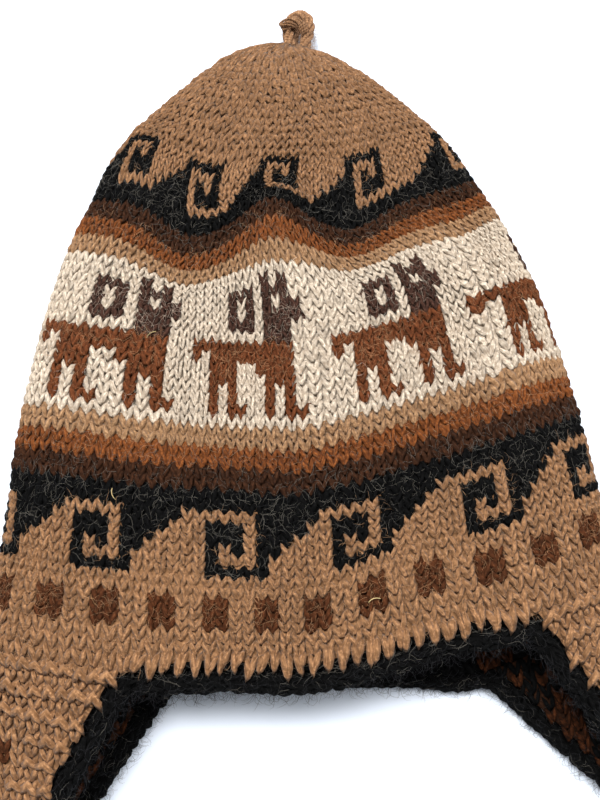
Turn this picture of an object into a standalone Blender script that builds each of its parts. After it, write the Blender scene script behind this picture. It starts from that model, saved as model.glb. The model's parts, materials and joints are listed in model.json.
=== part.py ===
# A lined, hand knitted hat with two ear flaps, lying flat on its back.
# Metres, +Z up: +Y runs from the brow to the peak, +X is the photograph's right.

import math
from bisect import bisect_right
from collections import namedtuple
from functools import lru_cache

import bmesh
import bpy
from mathutils import Vector

MM = 0.001

# walls
KNIT_WALL = 4.5 * MM       # outer knit, two strands of yarn thick
LINING_WALL = 3.0 * MM     # inner knit
PIECE_GAP = 0.3 * MM       # clearance between neighbouring pieces
EDGING_WIDTH = 7.2 * MM    # crocheted edging, about as thick as both walls
LEAST_HOLLOW = 1.4 * MM    # a wall's bag starts where the flattened hat leaves it this much room
PEAK_BULGE = 0.4 * MM      # how far a bag's closed end stands out

# lengths, measured down the middle of the front from the peak line
HEM_DOWN = 264.5 * MM      # brow, where the edging starts
FLAP_LENGTH = 100 * MM     # ear flap below the brow, along its fold

# how the ring of knitting is divided
RING_PARTS = 52            # two stitches each

# an ear flap: its two edges in ring parts from the left fold, in the ring's order, and
# the share of its width that it loses evenly before its tip rounds off
Flap = namedtuple("Flap", "first last narrowing")
LEFT_FLAP = Flap(-7, 6, 0.5)
RIGHT_FLAP = Flap(21, 32, 0.75)
LINING_MARGIN = 0.25       # a flap's lining is this many ring parts narrower at each edge
CORNER_CUT = 0.9           # ring parts that the edging leaves out beside each flap

# form of one lying row of knitting
SIDE_RISE = 0.42           # height of the fold as a share of the row's thickness
TOP_POWER = 2.4            # roundness of the upper side, 2 is an ellipse
FLAT_SHARE = 0.75          # share of the half width that rests on the surface
Bend = namedtuple("Bend", "left right")
FRONT_BEND = Bend(1.8, 1.25)   # powers by which the front of a row bends up to its folds
BACK_BEND = Bend(4.0, 5.0)
NAPE_DROP = 3 * MM         # the nape hangs this much below the brow
PULL_POWER = 6             # how near the folds an inner face is pulled in
PATH_STEPS = 160           # steps of one half turn when a row's length is measured

# a row of knitting, in millimetres: down its middle lies this far below the peak line,
# left and right are its folds, the lifts say how far the folds lie towards the peak,
# thick is its height over base, and base is the height of its underside
Row = namedtuple("Row", "down left right left_lift right_lift thick base")
ROWS = (
    Row(-2, 10, 3, 0.5, 0.0, 5, 6.5),
    Row(0, 20, 7, 1.2, -1.5, 8, 5.0),
    Row(3, 29, 13, 1.2, -1.0, 12, 3.0),
    Row(8, 37.5, 21, 2.5, 1.0, 16.5, 1.0),
    Row(18, 45, 31, 5.5, 4.0, 20.5, 0),
    Row(30, 52, 39, 9.5, 9.0, 22.5, 0),
    Row(45, 63, 49, 12.0, 13.5, 23.5, 0),
    Row(63, 75.5, 60, 13.5, 19.0, 24.5, 0),
    Row(79, 84, 68.5, 15.5, 24.0, 25, 0),
    Row(95, 88.5, 74.5, 17.0, 28.0, 26, 0),
    Row(118, 97, 84, 16.0, 32.0, 28.5, 0),
    Row(150, 104, 96, 15.0, 33.0, 32.5, 0),
    Row(181, 107.5, 103, 13.5, 33.0, 36, 0),
    Row(204, 108.5, 107.5, 11.0, 32.0, 38.5, 0),
    Row(245, 111, 114, 8.0, 32.0, 39.5, 0),
    Row(264.5, 112, 117, 8.5, 33.5, 39.5, 0),
    Row(290, 114.5, 124, 8.5, 33.5, 37, 0),
    Row(320, 117.5, 133.5, 8.5, 33.5, 31, 0),
    Row(350, 120.5, 141.5, 8.5, 33.5, 25, 0),
    Row(366, 122, 145, 8.5, 33.5, 22, 0),
)

# puckers of the lying front, in millimetres: the fabric at x, down is shifted
# towards the peak and sinks, fading out over wide and long
Pucker = namedtuple("Pucker", "x down wide long shift sink")
PUCKERS = (
    Pucker(-8, 104, 15, 30, 8.0, 2.0),
    Pucker(-40, 104, 18, 26, -3.5, 0.0),
    Pucker(27, 112, 14, 26, -3.0, 0.0),
)

# rows where the bags have a ring of corners, in millimetres, and where the flaps have a
# line of them, from 1 at the brow towards 0 at the tip
CROWN_LEVELS = (-2, 0, 3, 8, 18, 30, 45, 63, 79, 95, 107, 118, 134, 150, 166, 181, 204, 225, 245, 264.5)
FLAP_STEPS = (1.0, 0.96, 0.9, 0.83, 0.75, 0.66, 0.56, 0.45, 0.33, 0.21, 0.1)
EDGING_TIP = 0.04          # the step where the edging turns round a flap's tip

# top loop of yarn: its width, and the points of its route in millimetres
LOOP_YARN = 4.0 * MM
LOOP_ROUTE = ((-8.0, 3.0, 9.6), (-8.6, 7.6, 9.4), (-7.4, 12.6, 9.0), (-4.6, 17.0, 8.6),
              (-0.2, 18.8, 8.4), (4.4, 17.2, 8.4), (6.4, 12.6, 8.8), (3.4, 7.4, 9.2), (2.4, 2.9, 9.6))
LOOP_STEPS = 3             # tube points for each route point


def smoothed(table, where):
    # every column of the table at a place, on a smooth curve through the rows
    keys = [row[0] for row in table]
    spot = min(max(bisect_right(keys, where) - 1, 0), len(table) - 2)
    span = keys[spot + 1] - keys[spot]
    share = (where - keys[spot]) / span
    values = []
    for column in range(len(table[0])):
        ends = [table[min(max(spot + step, 0), len(table) - 1)] for step in (-1, 0, 1, 2)]
        below, start, stop, above = [row[column] for row in ends]
        slope_in = (stop - below) * span / (ends[2][0] - ends[0][0])
        slope_out = (above - start) * span / (ends[3][0] - ends[1][0])
        s2, s3 = share * share, share ** 3
        values.append((2 * s3 - 3 * s2 + 1) * start + (s3 - 2 * s2 + share) * slope_in
                      + (3 * s2 - 2 * s3) * stop + (s3 - s2) * slope_out)
    return type(table[0])(*values)


class Ring:
    # one lying row of knitting, at a depth inside the hat's outer face

    def __init__(self, down, depth=0.0):
        self.down, self.depth = down, depth
        self.row = smoothed(ROWS, down / MM)
        near = smoothed(ROWS, down / MM + 1.0)
        row = self.row
        left_out, left_up = self.fold_normal(row.left, near.left, row.left_lift, near.left_lift)
        right_out, right_up = self.fold_normal(row.right, near.right, row.right_lift, near.right_lift)
        self.pull = (depth * left_out, depth * right_out)
        self.set_back = depth * (left_up + right_up) / 2
        half = (row.left + row.right) * MM / 2
        self.pull_power = min(PULL_POWER, 0.8 * half / max(depth, 0.1 * MM))
        turns = [math.pi * step / PATH_STEPS for step in range(2 * PATH_STEPS + 1)]
        outer = [self.at_turn(turn, 0.0) for turn in turns]
        self.points = [self.at_turn(turn, depth) for turn in turns]
        self.lengths = [0.0]
        for start, stop in zip(outer, outer[1:]):
            self.lengths.append(self.lengths[-1] + (stop - start).length)

    @staticmethod
    def fold_normal(out, next_out, lift, next_lift):
        # outward and upward parts of the fold line's normal, for one millimetre down
        along_out, along_down = next_out - out, 1.0 - (next_lift - lift)
        length = math.hypot(along_out, along_down)
        return along_down / length, along_out / length

    def at_turn(self, turn, depth):
        # a point of the row, half a turn over the front from the left fold, then underneath
        upper = turn <= math.pi
        share = -math.cos(turn)
        left, right = self.row.left * MM, self.row.right * MM
        across = (right - left) / 2 + share * (right + left) / 2
        away = min(abs(share), 1.0)
        if depth > 0:
            pull = self.pull[0] if share < 0 else -self.pull[1]
            across += pull * away ** self.pull_power
            left, right = left - self.pull[0], right - self.pull[1]
        inside = min(abs(across - (right - left) / 2) / ((right + left) / 2), 1.0)
        height = self.height(inside, upper, depth)
        bend = FRONT_BEND if upper else BACK_BEND
        if share < 0:
            lift = self.row.left_lift * MM * away ** bend.left
        else:
            lift = self.row.right_lift * MM * away ** bend.right
        if not upper:
            lift -= NAPE_DROP * self.down / HEM_DOWN * (1 - away ** 4)
        set_back = self.set_back if depth > 0 else 0.0
        point = Vector((across, lift - self.down - set_back, height))
        return self.puckered(point) if upper else point

    def height(self, inside, upper, depth):
        # height at a share of the half width
        base = self.row.base * MM + depth
        thick = self.row.thick * MM - 2 * depth
        side = SIDE_RISE * thick
        if upper:
            return base + side + (thick - side) * (1 - inside ** TOP_POWER) ** (1 / TOP_POWER)
        turn = max(inside - FLAT_SHARE, 0.0) / (1 - FLAT_SHARE)
        return base + side * (1 - math.sqrt(1 - turn * turn))

    def puckered(self, point):
        for pucker in PUCKERS:
            aside = (point.x / MM - pucker.x) / pucker.wide
            along = (self.down / MM - pucker.down) / pucker.long
            amount = math.exp(-aside * aside - along * along)
            point.y += pucker.shift * MM * amount
            point.z -= pucker.sink * MM * amount
        return point

    def at(self, part):
        # the point this many ring parts from the left fold
        length = (part / RING_PARTS % 1.0) * self.lengths[-1]
        spot = min(bisect_right(self.lengths, length), len(self.lengths) - 1)
        share = (length - self.lengths[spot - 1]) / (self.lengths[spot] - self.lengths[spot - 1])
        return self.points[spot - 1].lerp(self.points[spot], share)

    def corners(self):
        return [self.at(part) for part in range(RING_PARTS)]


def new_object(name, mesh, collection):
    piece = bpy.data.objects.new(name, mesh)
    collection.objects.link(piece)
    return piece


def mesh_object(name, shape, collection, sharp_angle=50):
    # closes a bmesh into a named object with its faces pointing out
    bmesh.ops.recalc_face_normals(shape, faces=shape.faces)
    if shape.calc_volume(signed=True) < 0:
        bmesh.ops.reverse_faces(shape, faces=shape.faces)
    mesh = bpy.data.meshes.new(name)
    shape.to_mesh(mesh)
    shape.free()
    mesh.shade_smooth()
    mesh.set_sharp_from_angle(angle=math.radians(sharp_angle))
    return new_object(name, mesh, collection)


def bridge(shape, first, second, closed=True):
    # a band of triangles between two equally long lines of corners
    count = len(first)
    for spot in range(count if closed else count - 1):
        after = (spot + 1) % count
        shape.faces.new((first[spot], first[after], second[after]))
        shape.faces.new((first[spot], second[after], second[spot]))


def cap(shape, corners):
    # a fan over the top ring of a bag
    middle = sum((corner.co for corner in corners), Vector()) / len(corners)
    tip = shape.verts.new(middle + Vector((0, PEAK_BULGE, 0)))
    for spot, corner in enumerate(corners):
        shape.faces.new((tip, corners[(spot + 1) % len(corners)], corner))


def shell_levels(depth):
    # rows of one face of a bag, from where the flattened hat is thick enough for it
    top = CROWN_LEVELS[0]
    while smoothed(ROWS, top).thick * MM - 2 * depth < LEAST_HOLLOW:
        top += 0.25
    return [top * MM] + [level * MM for level in CROWN_LEVELS if level > top + 1.5]


def knitted_shell(name, outer_depth, inner_depth, collection):
    # a bag open at the brow: an outer and an inner face joined by a rim
    shape = bmesh.new()
    rims = []
    for depth in (outer_depth, inner_depth):
        rings = []
        for down in shell_levels(depth):
            rings.append([shape.verts.new(corner) for corner in Ring(down, depth).corners()])
        for upper_ring, lower_ring in zip(rings, rings[1:]):
            bridge(shape, upper_ring, lower_ring)
        cap(shape, rings[0])
        rims.append(rings[-1])
    bridge(shape, rims[0], rims[1])
    return mesh_object(name, shape, collection)


@lru_cache
def fold_part():
    # ring parts from the left fold, over the front, to the right fold
    ring = Ring(HEM_DOWN)
    return RING_PARTS * ring.lengths[PATH_STEPS] / ring.lengths[-1]


def flap_edges(flap, step):
    # how far down a flap's step lies, and its two edges there in ring parts
    fold = 0.0 if flap is LEFT_FLAP else fold_part()
    below = 1 - step * step
    width = step * (1 - flap.narrowing * below)
    down = HEM_DOWN + FLAP_LENGTH * below
    return down, fold + (flap.first - fold) * width, fold + (flap.last - fold) * width


def flap_shell(name, flap, outer_depth, inner_depth, margin, collection):
    # one wall of a flap, folded round the hat's side, its edges set in by a margin of ring
    # parts; a wall with a margin also ends one step short of the tip
    shape = bmesh.new()
    columns = flap.last - flap.first
    rims = []
    for depth in (outer_depth, inner_depth):
        lines = []
        for step in FLAP_STEPS[:-1] if margin else FLAP_STEPS:
            down, first, last = flap_edges(flap, step)
            first, last = first + margin, last - margin
            ring = Ring(down + PIECE_GAP, depth)
            places = [first + (last - first) * column / columns for column in range(columns + 1)]
            lines.append([shape.verts.new(ring.at(place)) for place in places])
        for upper_line, lower_line in zip(lines, lines[1:]):
            bridge(shape, upper_line, lower_line, closed=False)
        rims.append(outline(lines))
    bridge(shape, rims[0], rims[1])
    return mesh_object(name, shape, collection)


def outline(lines):
    # the corners round a grid, in order
    right_side = [line[-1] for line in lines[1:]]
    left_side = [line[0] for line in lines[-2:0:-1]]
    return lines[0] + right_side + lines[-1][-2::-1] + left_side


def edging_point(down, part, next_down, next_part):
    # the middle of the edging beside an edge point of the two walls
    depth = (KNIT_WALL + PIECE_GAP + LINING_WALL) / 2
    ring = Ring(down, depth)
    here, ahead = ring.at(part), Ring(next_down, depth).at(next_part)
    across = ring.at(part + 0.2) - ring.at(part - 0.2)
    downward = Ring(down + MM, depth).at(part) - here
    outward = across.cross(downward).cross(ahead - here).normalized()
    return here + outward * (EDGING_WIDTH / 2 + 2 * PIECE_GAP)


def edging_route():
    # once round the brow, both flaps and the nape, with the corners cut
    tip_steps = FLAP_STEPS[1:] + (EDGING_TIP,)
    route = []
    brow = (LEFT_FLAP.last, RIGHT_FLAP.first, RIGHT_FLAP)
    nape = (RIGHT_FLAP.last, LEFT_FLAP.first + RING_PARTS, LEFT_FLAP)
    for start, stop, flap in (brow, nape):
        length = stop - start - 2 * CORNER_CUT
        count = round(length)
        for spot in range(count + 1):
            part = start + CORNER_CUT + length * spot / count
            route.append(edging_point(HEM_DOWN, part, HEM_DOWN, part + 0.1))
        route += [flap_edge_point(flap, step, 1, step - 0.01) for step in tip_steps]
        route += [flap_edge_point(flap, step, 2, step + 0.01) for step in reversed(tip_steps)]
    return route


def flap_edge_point(flap, step, edge, next_step):
    here, ahead = flap_edges(flap, step), flap_edges(flap, next_step)
    return edging_point(here[0], here[edge], ahead[0], ahead[edge])


def tube(name, route, width, collection, closed=False):
    # a curve with a round bevel, made a mesh and welded shut
    curve = bpy.data.curves.new(name, "CURVE")
    curve.dimensions = "3D"
    curve.bevel_depth = width / 2
    curve.bevel_resolution = 2
    curve.use_fill_caps = not closed
    line = curve.splines.new("POLY")
    line.points.add(len(route) - 1)
    for point, place in zip(line.points, route):
        point.co = (*place, 1.0)
    line.use_cyclic_u = closed
    maker = new_object(name + "_curve", curve, collection)
    mesh = bpy.data.meshes.new_from_object(maker.evaluated_get(bpy.context.evaluated_depsgraph_get()))
    bpy.data.objects.remove(maker)
    shape = bmesh.new()
    shape.from_mesh(mesh)
    bmesh.ops.remove_doubles(shape, verts=shape.verts, dist=0.01 * MM)
    bmesh.ops.triangulate(shape, faces=shape.faces)
    return mesh_object(name, shape, collection)


def rounded(route, steps):
    # points on a smooth curve through the route
    points = []
    for spot in range(len(route) - 1):
        ends = [min(max(spot + step, 0), len(route) - 1) for step in (-1, 0, 1, 2)]
        before, start, stop, after = [Vector(route[end]) for end in ends]
        for step in range(steps):
            share = step / steps
            s2, s3 = share * share, share ** 3
            points.append((2 * s3 - 3 * s2 + 1) * start + (s3 - 2 * s2 + share) * (stop - before) / 2
                          + (3 * s2 - 2 * s3) * stop + (s3 - s2) * (after - start) / 2)
    return points + [Vector(route[-1])]


def plain_material(name, colour, roughness):
    material = bpy.data.materials.new(name)
    material.use_nodes = True
    shader = material.node_tree.nodes["Principled BSDF"]
    shader.inputs["Base Color"].default_value = (*colour, 1.0)
    shader.inputs["Roughness"].default_value = roughness
    shader.inputs["Metallic"].default_value = 0.0
    material.diffuse_color = (*colour, 1.0)
    return material


def centre_on_floor(pieces):
    # moves the pieces so that the box around them is centred over the origin, on Z = 0
    bpy.context.view_layer.update()
    corners = [piece.matrix_world @ vertex.co for piece in pieces for vertex in piece.data.vertices]
    low = Vector([min(corner[axis] for corner in corners) for axis in range(3)])
    high = Vector([max(corner[axis] for corner in corners) for axis in range(3)])
    shift = Vector((-(low.x + high.x) / 2, -(low.y + high.y) / 2, -low.z))
    for piece in pieces:
        piece.data.transform(piece.matrix_world.Translation(shift))
        piece.data.update()


def build():
    for item in list(bpy.data.objects):
        bpy.data.objects.remove(item)
    hat = bpy.data.collections.new("chullo_hat")
    bpy.context.scene.collection.children.link(hat)

    camel = plain_material("camel_knit", (0.50, 0.27, 0.13), 0.9)
    dark = plain_material("dark_knit", (0.05, 0.02, 0.01), 0.95)
    black = plain_material("black_crochet", (0.012, 0.014, 0.018), 0.9)
    twine = plain_material("camel_yarn", (0.42, 0.22, 0.11), 0.85)

    lining_depth = KNIT_WALL + PIECE_GAP
    inside_depth = lining_depth + LINING_WALL
    looks = {
        knitted_shell("crown", 0, KNIT_WALL, hat): camel,
        knitted_shell("crown_lining", lining_depth, inside_depth, hat): dark,
        flap_shell("ear_flap_left", LEFT_FLAP, 0, KNIT_WALL, 0, hat): camel,
        flap_shell("ear_flap_right", RIGHT_FLAP, 0, KNIT_WALL, 0, hat): camel,
        flap_shell("flap_lining_left", LEFT_FLAP, lining_depth, inside_depth, LINING_MARGIN, hat): dark,
        flap_shell("flap_lining_right", RIGHT_FLAP, lining_depth, inside_depth, LINING_MARGIN, hat): dark,
        tube("brow_edging", edging_route(), EDGING_WIDTH, hat, closed=True): black,
        tube("top_loop", [point * MM for point in rounded(LOOP_ROUTE, LOOP_STEPS)], LOOP_YARN, hat): twine,
    }
    for piece, material in looks.items():
        piece.data.materials.append(material)
    centre_on_floor(list(looks))


build()
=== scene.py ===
import json
import math
import random
from bisect import bisect_right
from collections import namedtuple

import bmesh
import bpy
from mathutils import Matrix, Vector, noise

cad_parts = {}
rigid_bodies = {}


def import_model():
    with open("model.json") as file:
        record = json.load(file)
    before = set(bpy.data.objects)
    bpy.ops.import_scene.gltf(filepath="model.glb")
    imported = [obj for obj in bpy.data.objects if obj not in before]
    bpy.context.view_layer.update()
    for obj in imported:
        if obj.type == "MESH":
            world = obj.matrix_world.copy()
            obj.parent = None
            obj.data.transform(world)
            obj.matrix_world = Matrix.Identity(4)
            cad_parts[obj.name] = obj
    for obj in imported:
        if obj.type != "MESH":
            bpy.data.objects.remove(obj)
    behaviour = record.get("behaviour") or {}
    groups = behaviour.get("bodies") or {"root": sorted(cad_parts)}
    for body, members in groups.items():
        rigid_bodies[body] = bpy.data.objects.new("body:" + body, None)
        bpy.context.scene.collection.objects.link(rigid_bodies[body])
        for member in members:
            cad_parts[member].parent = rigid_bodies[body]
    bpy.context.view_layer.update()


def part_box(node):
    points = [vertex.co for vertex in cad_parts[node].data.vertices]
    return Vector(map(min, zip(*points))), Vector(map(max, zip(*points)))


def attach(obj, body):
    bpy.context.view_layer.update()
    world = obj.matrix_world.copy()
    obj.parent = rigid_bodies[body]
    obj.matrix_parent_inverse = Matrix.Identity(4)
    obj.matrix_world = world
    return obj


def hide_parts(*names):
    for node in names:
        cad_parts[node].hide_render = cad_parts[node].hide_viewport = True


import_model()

mm = 0.001
floorRoom = 0.3 * mm           # nothing hangs lower than this
upwards = Vector((0, 0, 1))
seeds = {"crown": 10, "left": 31, "leftLining": 36, "right": 41, "rightLining": 46,
         "lining": 61, "edging": 71, "hairs": 20}

# camera, light and floor
view = {
    "place": (-0.0114, -0.0542, 0.277),   # above the brow, looking a little towards the peak
    "lean": 13.0,                         # degrees from straight down
    "lens": 20.4,                         # millimetres on a sensor 24 high
    "worldLight": 0.36,
    "worldColour": (0.96, 0.98, 1.0, 1.0),
    "keyLight": 26.5,
    "keySize": 0.5,
    "lights": {"key": ((-0.3, 0.46, 1.2), 1.0), "fill": ((0.55, 0.46, 1.2), 0.45)},    # place, share
    "floorReach": 2.0,
    "floorColour": (230, 237, 248),
    "floorRoughness": 0.9,
}

camera = bpy.data.objects.new("camera", bpy.data.cameras.new("camera"))
bpy.context.scene.collection.objects.link(camera)
camera.location = view["place"]
camera.rotation_euler = (math.radians(view["lean"]), 0, 0)
camera.data.sensor_fit = "VERTICAL"
camera.data.sensor_height = 24
camera.data.lens = view["lens"]
camera.data.clip_start = 0.01
bpy.context.scene.camera = camera
print("stage: camera placed")


# the lying hat's surface, by the same rule as its solids

# one row of knitting, in millimetres: its distance down the middle, its folds to the left and
# right, how far they lie towards the peak, its thickness, and the height of its underside
Row = namedtuple("Row", "down left right leftLift rightLift thick base")
lyingRows = (
    Row(-2, 10, 3, 0.5, 0.0, 5, 6.5),
    Row(0, 20, 7, 1.2, -1.5, 8, 5.0),
    Row(3, 27, 12, 1.2, -1.0, 12, 3.0),
    Row(8, 34.5, 18.5, 2.5, 1.0, 16.5, 1.0),
    Row(18, 42, 27, 5.5, 4.0, 20.5, 0),
    Row(30, 50, 36, 9.5, 9.0, 22.5, 0),
    Row(45, 62, 47.5, 12.0, 13.5, 23.5, 0),
    Row(63, 75.5, 60, 13.5, 19.0, 24.5, 0),
    Row(79, 84, 68.5, 15.5, 24.0, 25, 0),
    Row(95, 88.5, 74.5, 17.0, 28.0, 26, 0),
    Row(118, 97, 84, 16.0, 32.0, 28.5, 0),
    Row(150, 104, 96, 15.0, 33.0, 32.5, 0),
    Row(181, 107.5, 103, 13.5, 33.0, 36, 0),
    Row(204, 108.5, 107.5, 11.0, 32.0, 38.5, 0),
    Row(245, 111, 114, 8.0, 32.0, 39.5, 0),
    Row(264.5, 112, 117, 8.5, 33.5, 39.5, 0),
    Row(290, 114.5, 124, 8.5, 33.5, 37, 0),
    Row(320, 117.5, 133.5, 8.5, 33.5, 31, 0),
    Row(350, 120.5, 141.5, 8.5, 33.5, 25, 0),
    Row(366, 122, 145, 8.5, 33.5, 22, 0),
)
# puckers of the front, in millimetres: where they are, how far they reach, how far the fabric is
# shifted towards the peak there and how far it sinks
Pucker = namedtuple("Pucker", "x down wide long shift sink")
puckers = (
    Pucker(-8, 104, 15, 30, 8.0, 2.0),
    Pucker(-40, 104, 18, 26, -3.5, 0.0),
    Pucker(27, 112, 14, 26, -3.0, 0.0),
    Pucker(-48, 104, 15, 24, -6.5, 0.4),
    Pucker(-34, 74, 13, 16, -5.5, 0.6),
    Pucker(-66, 74, 12, 18, 7.0, 0.0),
    Pucker(-13, 95, 12, 16, 7.0, 0.6),
    Pucker(20, 88, 16, 28, -8.0, 0.6),
    Pucker(50, 100, 18, 30, -3.5, 0.0),
    Pucker(68, 118, 12, 22, -4.0, 0.0),
    Pucker(38, 238, 20, 20, 4.0, 0.0),
)
# a flap's edges in ring parts from the left fold, and the share of its width that it loses evenly
Flap = namedtuple("Flap", "first last narrowing")
leftFlap = Flap(-7, 6, 0.5)
rightFlap = Flap(21, 32, 0.75)
hatForm = {
    "ringParts": 52,
    "hemDown": 264.5 * mm,
    "flapLength": 100 * mm,
    "sideRise": 0.42,               # height of the folds, as a share of the thickness
    "topPower": 2.4,                # roundness of the upper side, 2 is an ellipse
    "flatShare": 0.75,              # of the half width that rests on the floor
    "frontBend": (1.8, 1.25),      # powers at the left and the right fold
    "backBend": (4.0, 5.0),
    "napeDrop": 3 * mm,             # the nape lies this much lower than the brow
    "pullPower": 6,                 # how near the folds an inner face is pulled in
    "pullShare": 0.8,               # keeps it from folding over
    "napePower": 4,
    "depthLeast": 0.1 * mm,
    "pathSteps": 160,               # in half a turn, when a row is measured
    "knitWall": 4.5 * mm,
    "liningWall": 3.0 * mm,
    "gap": 0.3 * mm,
    "edgingWidth": 7.2 * mm,
    "cornerCut": 0.45,              # ring parts that the edging leaves out beside each flap
    "arches": ((6.5, 20.5, 3.4 * mm), (32.8, 44.2, 3.0 * mm)),     # brow and nape, between the flaps
    "archReach": 3.0,               # ring parts from a flap to the full rise
    "archTop": 246 * mm,            # nothing above it rises
}


def curved(start, stop, slopeIn, slopeOut, share):
    # a smooth curve from one value or point to the next
    s2, s3 = share * share, share ** 3
    return ((2 * s3 - 3 * s2 + 1) * start + (s3 - 2 * s2 + share) * slopeIn
            + (3 * s2 - 2 * s3) * stop + (s3 - s2) * slopeOut)


def smoothed(table, where):
    # every column of the table at a place, on a smooth curve through the rows
    keys = [row[0] for row in table]
    spot = min(max(bisect_right(keys, where) - 1, 0), len(table) - 2)
    span = keys[spot + 1] - keys[spot]
    share = (where - keys[spot]) / span
    ends = [table[min(max(spot + step, 0), len(table) - 1)] for step in (-1, 0, 1, 2)]
    values = []
    for below, start, stop, above in zip(*ends):
        slopeIn = (stop - below) * span / (ends[2][0] - ends[0][0])
        slopeOut = (above - start) * span / (ends[3][0] - ends[1][0])
        values.append(curved(start, stop, slopeIn, slopeOut, share))
    return type(table[0])(*values)


def runLengths(points):
    # how far along a line each of its points is
    lengths = [0.0]
    for start, stop in zip(points, points[1:]):
        lengths.append(lengths[-1] + (stop - start).length)
    return lengths


def atLength(points, lengths, length):
    spot = min(bisect_right(lengths, length), len(lengths) - 1)
    share = (length - lengths[spot - 1]) / max(lengths[spot] - lengths[spot - 1], 1e-9)
    return points[spot - 1].lerp(points[spot], share)


class LyingRow:
    # one lying row of knitting, at a depth inside the hat's outer face

    def __init__(self, down, depth=0.0):
        self.down, self.depth = down, depth
        self.row = smoothed(lyingRows, down / mm)
        near = smoothed(lyingRows, down / mm + 1.0)
        row = self.row
        leftOut, leftUp = self.foldNormal(row.left, near.left, row.leftLift, near.leftLift)
        rightOut, rightUp = self.foldNormal(row.right, near.right, row.rightLift, near.rightLift)
        self.pull = (depth * leftOut, depth * rightOut)
        self.setBack = depth * (leftUp + rightUp) / 2
        half = (row.left + row.right) * mm / 2
        mostPull = hatForm["pullShare"] * half / max(depth, hatForm["depthLeast"])
        self.pullPower = min(hatForm["pullPower"], mostPull)
        steps = hatForm["pathSteps"]
        turns = [math.pi * step / steps for step in range(2 * steps + 1)]
        outer = [self.atTurn(turn, 0.0) for turn in turns]
        self.points = outer if depth == 0 else [self.atTurn(turn, depth) for turn in turns]
        self.lengths = runLengths(outer)

    @staticmethod
    def foldNormal(out, nextOut, lift, nextLift):
        alongOut, alongDown = nextOut - out, 1.0 - (nextLift - lift)
        length = math.hypot(alongOut, alongDown)
        return alongDown / length, alongOut / length

    def atTurn(self, turn, depth):
        upper = turn <= math.pi
        share = -math.cos(turn)
        left, right = self.row.left * mm, self.row.right * mm
        across = (right - left) / 2 + share * (right + left) / 2
        away = min(abs(share), 1.0)
        if depth > 0:
            pull = self.pull[0] if share < 0 else -self.pull[1]
            across += pull * away ** self.pullPower
            left, right = left - self.pull[0], right - self.pull[1]
        inside = min(abs(across - (right - left) / 2) / ((right + left) / 2), 1.0)
        height = self.height(inside, upper, depth)
        bend = hatForm["frontBend"] if upper else hatForm["backBend"]
        if share < 0:
            lift = self.row.leftLift * mm * away ** bend[0]
        else:
            lift = self.row.rightLift * mm * away ** bend[1]
        if not upper:
            lift -= hatForm["napeDrop"] * self.down / hatForm["hemDown"] * (1 - away ** hatForm["napePower"])
        setBack = self.setBack if depth > 0 else 0.0
        point = Vector((across, lift - self.down - setBack, height))
        return self.puckered(point) if upper else point

    def height(self, inside, upper, depth):
        base = self.row.base * mm + depth
        thick = self.row.thick * mm - 2 * depth
        side = hatForm["sideRise"] * thick
        if upper:
            power = hatForm["topPower"]
            return base + side + (thick - side) * (1 - inside ** power) ** (1 / power)
        turn = max(inside - hatForm["flatShare"], 0.0) / (1 - hatForm["flatShare"])
        return base + side * (1 - math.sqrt(1 - turn * turn))

    def puckered(self, point):
        for pucker in puckers:
            aside = (point.x / mm - pucker.x) / pucker.wide
            along = (self.down / mm - pucker.down) / pucker.long
            amount = math.exp(-aside * aside - along * along)
            point.y += pucker.shift * mm * amount
            point.z -= pucker.sink * mm * amount
        return point

    def at(self, part):
        # the point this many ring parts from the left fold
        return atLength(self.points, self.lengths, part / hatForm["ringParts"] % 1.0 * self.lengths[-1])


hemRow = LyingRow(hatForm["hemDown"])
hemPoints = [hemRow.at(part) for part in range(hatForm["ringParts"])]
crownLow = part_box("crown")[0]
frameShift = Vector((crownLow[0] - min(point.x for point in hemPoints),
                     crownLow[1] - min(point.y for point in hemPoints), 0))
rightFold = hatForm["ringParts"] * hemRow.lengths[hatForm["pathSteps"]] / hemRow.lengths[-1]
backMiddle = (hatForm["ringParts"] + rightFold) / 2
rowCache = {}


def lyingRow(down, depth=0.0):
    key = (round(down, 6), round(depth, 6))
    if key not in rowCache:
        rowCache[key] = LyingRow(down, depth)
    return rowCache[key]


def eased(share):
    share = min(max(share, 0.0), 1.0)
    return share * share * (3 - 2 * share)


def archRise(part, down):
    # how far the brow or the nape rises between the flaps
    part = part % hatForm["ringParts"]
    rise = 0.0
    for first, last, height in hatForm["arches"]:
        rise += height * eased(min(part - first, last - part) / hatForm["archReach"])
    return rise * eased((down - hatForm["archTop"]) / (hatForm["hemDown"] - hatForm["archTop"]))


def onHat(part, down, depth=0.0):
    return lyingRow(down, depth).at(part) + frameShift + Vector((0, archRise(part, down), 0))


# knitting: its yarns, its rows and the charts of its figures

Yarn = namedtuple("Yarn", "colour dark sheen")     # colours, 0 to 255
yarns = {
    "camel": Yarn((145, 106, 73), (95, 64, 39), 0.08),
    "sand": Yarn((152, 117, 84), (105, 73, 47), 0.08),
    "cream": Yarn((195, 180, 161), (150, 132, 113), 0.08),
    "rust": Yarn((116, 65, 30), (71, 36, 17), 0.02),
    "chestnut": Yarn((101, 56, 31), (70, 37, 20), 0.0),
    "russet": Yarn((78, 43, 23), (50, 27, 14), 0.0),
    "brown": Yarn((57, 33, 19), (35, 20, 12), 0.0),
    "umber": Yarn((66, 43, 34), (38, 25, 20), 0.0),
    "black": Yarn((8, 8, 8), (2, 2, 2), 0.0),
    "dusky": Yarn((66, 34, 15), (25, 13, 7), 0.0),
    "fawn": Yarn((157, 117, 83), (108, 76, 49), 0.08),
}
yarnNames = list(yarns)
ringStitches = 112                  # once round, at the llamas and the lower waves

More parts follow.
